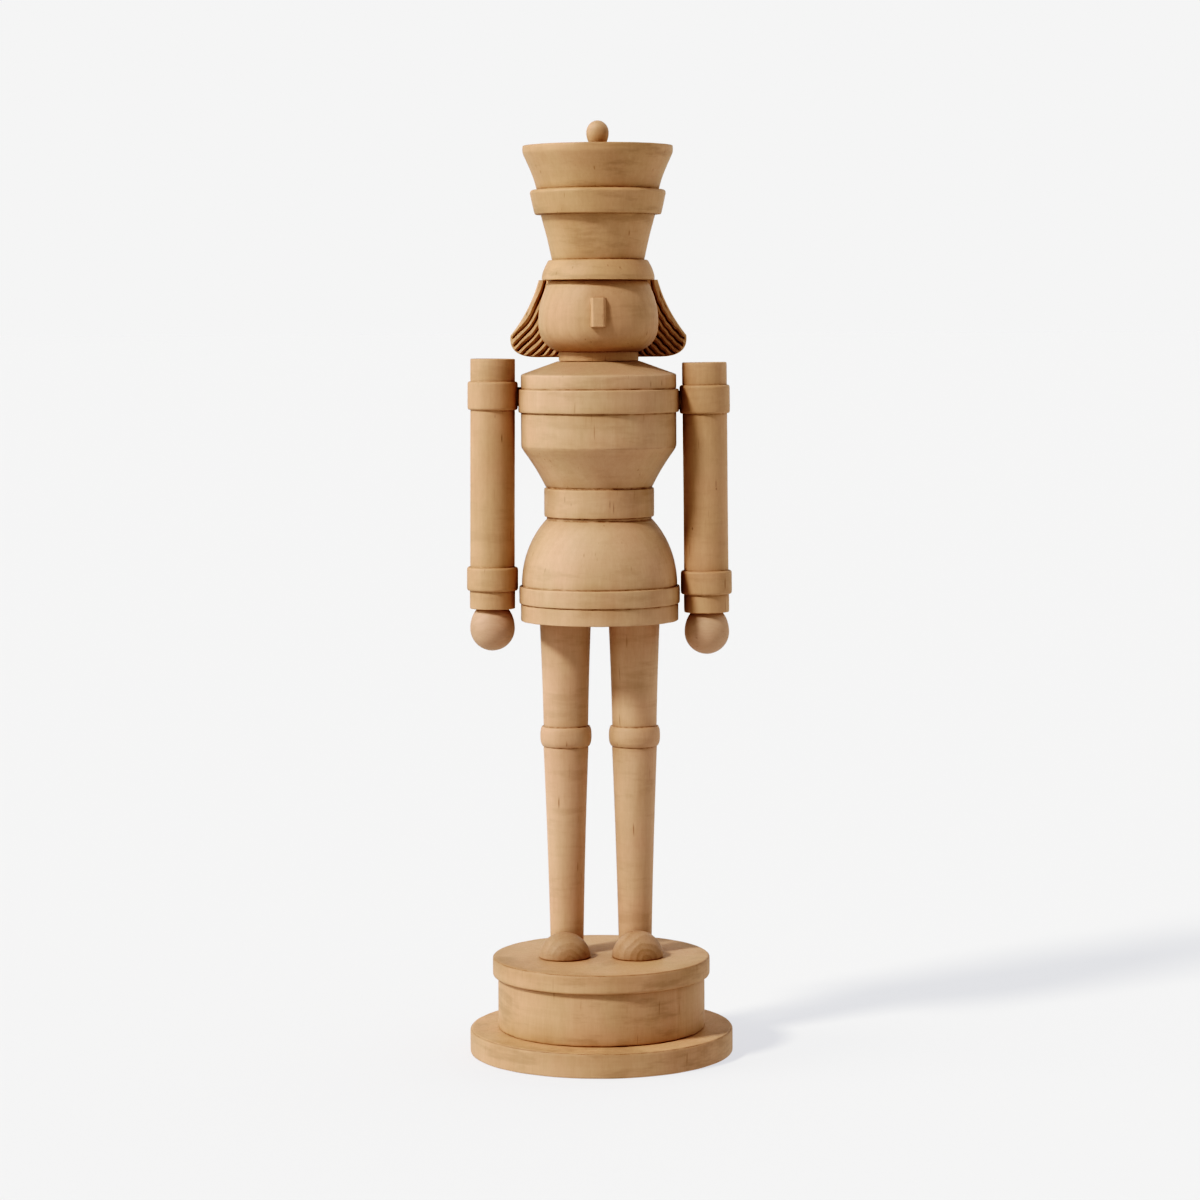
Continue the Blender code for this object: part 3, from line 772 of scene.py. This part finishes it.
def make_arms():
    """Straight arms with a shoulder band and a cuff, and a bead at the end of each for a hand."""
    joints = {joint["child"]: joint for joint in frame["joints"]}
    for number, side in enumerate(SIDES):
        shoulder = Vector(joints[side + "_arm"]["pos_m"]) / MM
        hand = centre("hand_" + side)
        lean = math.atan2(hand.x - shoulder.x, shoulder.z - hand.z)
        place = Matrix.Translation(shoulder) @ Matrix.Rotation(-lean, 4, "Y")
        outline = [
            (0, ARM_TOP),
            (ARM_RADIUS, ARM_TOP, 0.35),
            (ARM_RADIUS, SHOULDER_BAND_TOP, 0, 0.5),
            (SHOULDER_BAND_RADIUS, SHOULDER_BAND_TOP, 0.85),
            (SHOULDER_BAND_RADIUS, SHOULDER_BAND_FOOT, 0.85),
            (ARM_RADIUS, SHOULDER_BAND_FOOT, 0, 0.5),
            (ARM_RADIUS, CUFF_TOP, 0, 0.5),
            (CUFF_RADIUS, CUFF_TOP, 0.85),
            (CUFF_RADIUS, CUFF_FOOT, 0.85),
            (WRIST_RADIUS, CUFF_FOOT, 0, 0.5),
            (WRIST_RADIUS, ARM_FOOT, 0.3),
            (0, ARM_FOOT),
        ]
        piece = turned(side + "_sleeve", outline, LIMB_FACETS, 51 + number, place)
        finish_piece(piece, "arm_" + side, side + "_arm", "limb_wood", "arm",
                     seed=9 + number, pith=(shoulder.x - 30, 45, 0), pores=0.75, turning=0.2,
                     axis=(shoulder.x, 0), cracks=ARM_CRACKS[side])
        top = ARM_FOOT - GLUE_LINE
        bottom = extent("hand_" + side)[0].z - shoulder.z
        middle = bottom + HAND_RADIUS
        flat_edge = math.degrees(math.acos((top - middle) / HAND_RISE))
        bead = [
            (0, top),
            *dome(HAND_RADIUS, HAND_RISE, middle, flat_edge, 90)[:-1],
            *dome(HAND_RADIUS, HAND_RADIUS, middle, 90, 179),
            (0, bottom),
        ]
        piece = turned(side + "_bead", bead, LIMB_FACETS, 61 + number, place)
        finish_piece(piece, "hand_" + side, side + "_arm", "bead_wood", "hand",
                     seed=11 + number, pith=(0, 30, shoulder.z - 40), grain="x", ring_width=2.2,
                     pores=0.3, turning=0.15, axis=(shoulder.x, 0))


# ---- head, nose, hair -------------------------------------------------------------------------


FACE_SEED = 71             # shared by the face and the cutter that fits the nose to it


def head_outline(growth=0.0):
    """The head and neck, from the crown down; growth swells it, for a cutter."""
    low, high = extent("head")
    widest = low.z + 12.1
    radius = high.x + growth
    neck = 12.75 + growth
    foot = glued_foot("head")
    return [
        (0, high.z),
        *dome(radius, 22.8, widest, 54.5, 90)[:-1],
        *dome(radius, 11.2, widest, 91, 141, fullness=2.6),
        (neck, low.z + 2.8),
        (neck, foot, 0.2),
        (0, foot),
    ]


def make_head():
    """A round head on its neck, sawn flat behind for the hair."""
    nape = extent("head")[1].y
    piece = turned("face", head_outline(), ROUND_FACETS, FACE_SEED)
    saw_flat(piece, Vector((0, nape, 0)), Vector((0, 1, 0)))
    finish_piece(piece, "head", "figure", "body_wood", "face", seed=13, pith=(-9, 62, 0),
                 ring_width=2.6, figure=0.15, pores=0.4, turning=0.2)


def saw_flat(piece, point, normal):
    """Cuts off what lies beyond a plane (a point in mm), and closes the cut."""
    shape = bmesh.new()
    shape.from_mesh(piece.data)
    everything = shape.verts[:] + shape.edges[:] + shape.faces[:]
    bmesh.ops.bisect_plane(
        shape, geom=everything, plane_co=point * MM, plane_no=normal, clear_outer=True)
    rim = [edge for edge in shape.edges if edge.is_boundary]
    bmesh.ops.contextual_create(shape, geom=rim)
    for face in shape.faces:
        if len(face.verts) > 4:
            face.smooth = False
    shape.to_mesh(piece.data)
    shape.free()


def make_nose():
    """A bar on the face, narrower towards its front, which leans out towards the bottom."""
    low, high = extent("nose")
    brow = low.y + 1.65
    tip = low.y - 0.05
    root = -15.0
    half_front = 1.8
    half_root = 3.7
    corners = []
    for height, front in ((low.z, tip), (high.z, brow)):
        corners += [(-half_front, front, height), (half_front, front, height),
                    (half_root, root, height), (-half_root, root, height)]
    piece = new_piece("nose_bar", corners, BOX_FACES, {})
    edge = piece.modifiers.new("Softened edges", "BEVEL")
    edge.width = 0.32 * MM
    edge.segments = 3
    skin = turned("skin", head_outline(GLUE_LINE), ROUND_FACETS, FACE_SEED)
    carved(piece, [skin], 0.1, 3)
    x, _, z = places(piece).T
    # Darker towards the nose's foot, broken by a wavy pattern.
    towards_foot = np.clip((low.z + 4.2 - z) / 4, 0, 1)
    wavy_breakup = np.sin(x * 9 + 4 * np.sin(z * 5)) * np.sin(z * 11)
    add_values(piece, "groove", 0.28 * towards_foot * (0.5 + 0.5 * wavy_breakup))
    finish_piece(piece, "nose", "figure", "body_wood", "face", seed=16, pith=(6, 40, 0),
                 fibre=0.5, pores=0.3, turning=0.0)


HAIR_PITCH = 1.98          # from one carved groove to the next, in mm
HAIR_SWEEP = (49.5, 6.2)   # the middle of the grooves' arcs: out from the centre, and above the top
FIRST_GROOVE = 31.1        # radius of the innermost arc
GROOVE_HALF_WIDTH = 0.23
CARVING_DEPTH = 0.75
STRAND_ROUNDING = 0.32
BOARD_ROUNDING = 1.1
EAR_HEIGHT = 0.3           # how much higher the board is beside the brim than under it
HAIR_ROWS = 210
HAIR_COLUMNS = 420
HAIR_WALL_ROWS = 16        # rows of points across the board's thickness


def hair_half_width(height, low, high):
    """Half the board's width at each height: bell-shaped, with a short bevelled lower corner."""
    share = np.linspace(0, 1, 60)[:, None]

    def curve(start, pull, end):
        return start * (1 - share) ** 2 + 2 * pull * share * (1 - share) + end * share ** 2

    shoulder = np.array([19.2, high.z])
    sweep = np.array([22.2, high.z - 9.8])
    tip = np.array([high.x - 0.35, low.z + 7.0])
    corner = np.array([high.x + 0.55, low.z + 0.1])
    foot = np.array([20.0, low.z])
    wing = curve(shoulder, sweep, tip)
    lower = curve(tip, corner, foot)
    outline = np.concatenate([wing, lower])[::-1]
    return np.interp(height, outline[:, 1], outline[:, 0])


def strands(across, height, top, inside, draw_phase):
    """Depth of the carving and the painted shade in its grooves, where strands sweep out from the
    middle.

    Inside is how far each place is in from the board's outline: the grooves stop short of it.
    """
    wander = (0.16 * np.sin(across * 0.55 + height * 0.31 + draw_phase)
              + 0.09 * np.sin(across * 1.7 - height * 1.1 + 2 * draw_phase))
    reach = np.hypot(np.abs(across) - HAIR_SWEEP[0], height - top - HAIR_SWEEP[1]) + wander
    phase = (reach - FIRST_GROOVE) / HAIR_PITCH
    from_groove = np.abs(phase - np.round(phase)) * HAIR_PITCH
    number = np.round(phase)
    strength = 0.82 + 0.18 * np.sin(number * 2.4 + np.sign(across) * 1.3 + height * 0.23)
    notch = np.exp(-((from_groove / GROOVE_HALF_WIDTH) ** 2)) * strength
    notch *= np.clip((inside - 0.5) / 0.5, 0, 1)
    crown = (from_groove / (HAIR_PITCH / 2)) ** 2
    depth = CARVING_DEPTH * notch + STRAND_ROUNDING * (1 - crown)
    return depth, np.clip(notch * 1.05, 0, 1)


def hair_sheets(low, high):
    """Points of the board's front and back, row by row from the top, and the painted shade at each
    one.
    """
    down = np.linspace(0, 1, HAIR_ROWS)
    height = high.z - (high.z - low.z) * (down - 0.06 * np.sin(2 * math.pi * down) / 1.2)
    across = np.linspace(-1, 1, HAIR_COLUMNS)
    across = across + 0.05 * np.sin(math.pi * across)
    half = hair_half_width(height, low, high)
    x = across[None, :] * half[:, None]
    z = np.repeat(height[:, None], HAIR_COLUMNS, axis=1)
    inside = np.minimum((half[:, None] - np.abs(x)) * 0.86, z - low.z)
    rim = np.clip(np.minimum(inside, (high.z - z) * 4), 0, BOARD_ROUNDING)
    rounding = BOARD_ROUNDING - np.sqrt(BOARD_ROUNDING ** 2 - (BOARD_ROUNDING - rim) ** 2)
    beyond_brim = np.clip((np.abs(x) - 15.2) / 1.6, 0, 1)
    ear = EAR_HEIGHT * beyond_brim * np.clip(1 - (high.z - z) / 4, 0, 1)
    grit = np.abs(np.random.default_rng(17).normal(0, 0.022, x.shape))

    # The front is left plain where it is glued to the head.
    carved_front = np.clip((np.abs(x) - 11.0) / 2.5, 0, 1)
    depth, front_groove_shade = strands(x, z, high.z, inside, 0.4)
    y = glued_face("hair") + (rounding + depth * carved_front + grit)
    front = np.stack([x, y, z + ear], axis=2)
    depth, back_groove_shade = strands(x, z, high.z, inside, 2.1)
    y = high.y - (rounding + depth + grit)
    back = np.stack([x, y, z + ear], axis=2)
    return front, back, front_groove_shade * carved_front, back_groove_shade


def make_hair():
    """A board of hair with carved strands on both faces, flat against the back of the head."""
    low, high = extent("hair")
    front, back, front_groove_shade, back_groove_shade = hair_sheets(low, high)
    last_row = HAIR_ROWS - 1
    last_column = HAIR_COLUMNS - 1
    rim = (
        [(0, column) for column in range(last_column)]
        + [(row, last_column) for row in range(last_row)]
        + [(last_row, column) for column in range(last_column, 0, -1)]
        + [(row, 0) for row in range(last_row, 0, -1)]
    )
    rim_rows, rim_columns = np.array(rim).T
    front_rim = front[rim_rows, rim_columns]
    back_rim = back[rim_rows, rim_columns]
    steps = np.linspace(0, 1, HAIR_WALL_ROWS + 2)[1:-1]
    walls = [front_rim + (back_rim - front_rim) * step for step in steps]
    vertices = np.concatenate([front.reshape(-1, 3), back.reshape(-1, 3), *walls])

    count = HAIR_ROWS * HAIR_COLUMNS
    index = np.arange(count).reshape(HAIR_ROWS, HAIR_COLUMNS)
    quads = np.stack([index[:-1, :-1], index[1:, :-1], index[1:, 1:], index[:-1, 1:]], axis=2)
    quads = quads.reshape(-1, 4)
    faces = quads.tolist() + (quads[:, ::-1] + count).tolist()
    around = len(rim)
    loops = [index[rim_rows, rim_columns]]
    loops += [2 * count + step * around + np.arange(around) for step in range(HAIR_WALL_ROWS)]
    loops.append(index[rim_rows, rim_columns] + count)
    for near, far in zip(loops, loops[1:]):
        faces += np.stack([near, np.roll(near, -1), np.roll(far, -1), far], axis=1).tolist()
    # The board's edge carries half of the front's painted groove shade.
    wall_groove_shade = np.concatenate([front_groove_shade[rim_rows, rim_columns] * 0.5] * HAIR_WALL_ROWS)
    groove = np.concatenate([front_groove_shade.ravel(), back_groove_shade.ravel(), wall_groove_shade])
    piece = new_piece("carved_hair", vertices, faces, {"groove": groove})
    finish_piece(piece, "hair", "figure", "hair_wood", "hair", seed=17,
                 pith=(0, -30, low.z - 30), ring_width=2.4, figure=0.3, fibre=0.6, pores=0.6,
                 turning=0.0, groove_colour=CARVED_GROOVE_SHADE_COLOUR)


# ---- hat and finial ---------------------------------------------------------------------------


def make_hat():
    """A tall hat: brim, cone, band, flare and rim in one turning."""
    high = extent("hat")[1]
    top = high.z
    rim = high.x
    flare_foot = top - 13.9
    band = 21.95
    band_foot = top - 21.8
    cone_foot = top - 36.2
    brim = 18.05
    bottom = glued_foot("hat")
    outline = [
        (0, top),
        (rim, top, 0.4),
        (rim, top - 2.2, 0.4),
        (21.9, top - 6.8, 2.0),
        (20.4, top - 10.5, 1.8),
        (19.5, flare_foot, 0, 0.8),
        (band, flare_foot, 1.6),
        (20.2, band_foot, 0.35),
        (18.3, band_foot, 0, 0.8),
        (16.3, top - 29.0, 3.0),
        (14.75, cone_foot, 0, 0.8),
        (15.9, cone_foot, 0.5),
        (17.6, top - 39.6, 1.5),
        (brim, top - 41.7, 0.8),
        (brim, bottom, 0.3),
        (0, bottom),
    ]
    piece = turned("tall_hat", outline, ROUND_FACETS, 81)
    finish_piece(piece, "hat", "figure", "body_wood", "hat", seed=14, pith=(12, 66, 0),
                 pores=0.5, turning=0.45, stain=0.4)


def make_finial():
    """A small bead on a short foot, on top of the hat."""
    high = extent("finial")[1]
    widest = high.z - 3.8
    foot = glued_foot("finial")
    radius = high.x
    upper = dome(radius, high.z - widest, widest, 0, 90)
    lower = dome(radius, 5.2, widest, 91, 137)
    foot_radius = lower[-1][0]
    outline = [*upper, *lower, (foot_radius, foot), (0, foot)]
    piece = turned("top_bead", outline, LIMB_FACETS, 91)
    finish_piece(piece, "finial", "figure", "body_wood", "body", seed=15, pith=(3, 9, 0),
                 ring_width=1.6, figure=0.2, pores=0.2, turning=0.2)


# ---- pegs -------------------------------------------------------------------------------------


def dress_pegs():
    """The pegs keep their CAD shape and get dowel wood; the shoulder pegs are painted dark all over,
    as shade between arm and body.
    """
    for number, (name, node) in enumerate(sorted(frame["nodes"].items())):
        if "peg" not in name:
            continue
        middle = centre(name)
        # Shoulder pegs are painted dark as shade, since they sit between arm and body.
        kind, grain = ("painted_shade_peg", "x") if name.startswith("shoulder") else ("peg", "z")
        dowel = wood(kind, name, seed=20 + number, grain=grain, turning=0.1,
                     pith=(middle.x + 4, middle.y + 12, middle.z), ring_width=1.2)
        node.data.materials.clear()
        node.data.materials.append(dowel)


# ---- floor, light and camera ------------------------------------------------------------------

BACKGROUND = 0.913                             # brightness of the room and floor, as seen
FLOOR_ALBEDO = (0.250, 0.240, 0.200)
FLOOR_HALF_WIDTH = 60.0                        # m
KEY_DIRECTION = Vector((-0.58, -0.45, 0.68))   # from the figure to the light
KEY_STRENGTH = 2.9
KEY_ANGLE = math.radians(9)
SIDE_DIRECTION = Vector((-0.95, -0.12, 0.22))
SIDE_STRENGTH = 1.8
SIDE_ANGLE = math.radians(50)
ROOM_LEVEL = 0.74                              # how bright the room is, seen from the figure
ROOM_SLOPE = Vector((0.42, 0.42, -0.25))       # and how that grows to its left, back and floor
COMBINED_CURVE = 3                             # the curve of all three colours together
# Levels of shade and how each is shown: dark ones are deepened.
SHADE_CURVE = [(0.05, 0.004), (0.085, 0.018), (0.155, 0.085), (0.255, 0.212), (0.39, 0.385),
               (0.7, 0.7), (0.9, 0.9)]
CAMERA_PLACE = Vector((0.13, -1063, 236.5))    # mm
CAMERA_PITCH = math.radians(85.18)
CAMERA_ROLL = -0.0045
CAMERA_LENS = 99.4                             # mm


def sun(name, direction, strength, angle):
    """A distant lamp. Returns how brightly it lights a white floor."""
    lamp = bpy.data.lights.new(name, "SUN")
    lamp.energy = strength
    lamp.angle = angle
    light = bpy.data.objects.new(name, lamp)
    light.rotation_euler = direction.to_track_quat("Z", "Y").to_euler()
    bpy.context.scene.collection.objects.link(light)
    return strength * direction.normalized().z / math.pi


def make_light():
    """Two soft lights from the figure's right, in a pale room. Returns what reaches the floor.

    The room is even where the camera sees it. What it sheds on the figure has a slope.
    """
    world = bpy.data.worlds.new("soft_room")
    world.use_nodes = True
    tree = world.node_tree
    background = tree.nodes["Background"]
    direction = tree.nodes.new("ShaderNodeTexCoord")
    slope = tree.nodes.new("ShaderNodeVectorMath")
    slope.operation = "DOT_PRODUCT"
    slope.inputs[1].default_value = ROOM_SLOPE
    tree.links.new(direction.outputs["Generated"], slope.inputs[0])
    room = tree.nodes.new("ShaderNodeMath")
    room.inputs[1].default_value = ROOM_LEVEL
    tree.links.new(slope.outputs["Value"], room.inputs[0])
    path = tree.nodes.new("ShaderNodeLightPath")
    seen = tree.nodes.new("ShaderNodeMix")
    seen.inputs["B"].default_value = BACKGROUND
    tree.links.new(path.outputs["Is Camera Ray"], seen.inputs["Factor"])
    tree.links.new(room.outputs["Value"], seen.inputs["A"])
    tree.links.new(seen.outputs["Result"], background.inputs["Strength"])
    background.inputs["Color"].default_value = (1, 1, 1, 1)
    bpy.context.scene.world = world
    from_lamps = sun("key", KEY_DIRECTION, KEY_STRENGTH, KEY_ANGLE)
    from_lamps += sun("side_light", SIDE_DIRECTION, SIDE_STRENGTH, SIDE_ANGLE)
    room_above = ROOM_LEVEL + ROOM_SLOPE.z * 2 / 3
    return from_lamps + room_above


def make_floor(light):
    """A pale floor as bright as the room where nothing shades it."""
    half = FLOOR_HALF_WIDTH
    corners = [(-half, -half, 0), (half, -half, 0), (half, half, 0), (-half, half, 0)]
    mesh = bpy.data.meshes.new("floor")
    mesh.from_pydata(corners, [], [(0, 1, 2, 3)])
    floor = bpy.data.objects.new("floor", mesh)
    bpy.context.scene.collection.objects.link(floor)
    recipe = Recipe("pale_floor")
    shader = recipe.shader
    glow = [BACKGROUND - albedo * light for albedo in FLOOR_ALBEDO]
    shader.inputs["Base Color"].default_value = (*FLOOR_ALBEDO, 1)
    shader.inputs["Roughness"].default_value = 1.0
    shader.inputs["Specular IOR Level"].default_value = 0.0
    shader.inputs["Emission Color"].default_value = (*glow, 1)
    shader.inputs["Emission Strength"].default_value = 1.0
    mesh.materials.append(recipe.material)


def make_camera():
    """The camera, and the curve that sets how shades are shown."""
    lens = bpy.data.cameras.new("camera")
    lens.lens = CAMERA_LENS
    lens.sensor_width = 36
    camera = bpy.data.objects.new("camera", lens)
    camera.matrix_world = (
        Matrix.Translation(CAMERA_PLACE * MM)
        @ Matrix.Rotation(CAMERA_PITCH, 4, "X")
        @ Matrix.Rotation(CAMERA_ROLL, 4, "Z")
    )
    bpy.context.scene.collection.objects.link(camera)
    bpy.context.scene.camera = camera
    view = bpy.context.scene.view_settings
    view.view_transform = "Standard"
    view.use_curve_mapping = True
    curve = view.curve_mapping.curves[COMBINED_CURVE]
    for level, shown in SHADE_CURVE:
        curve.points.new(level, shown)
    view.curve_mapping.update()


make_camera()
make_floor(make_light())
make_base()
make_legs()
make_shoes()
make_torso()
make_arms()
make_head()
make_nose()
make_hair()
make_hat()
make_finial()
dress_pegs()
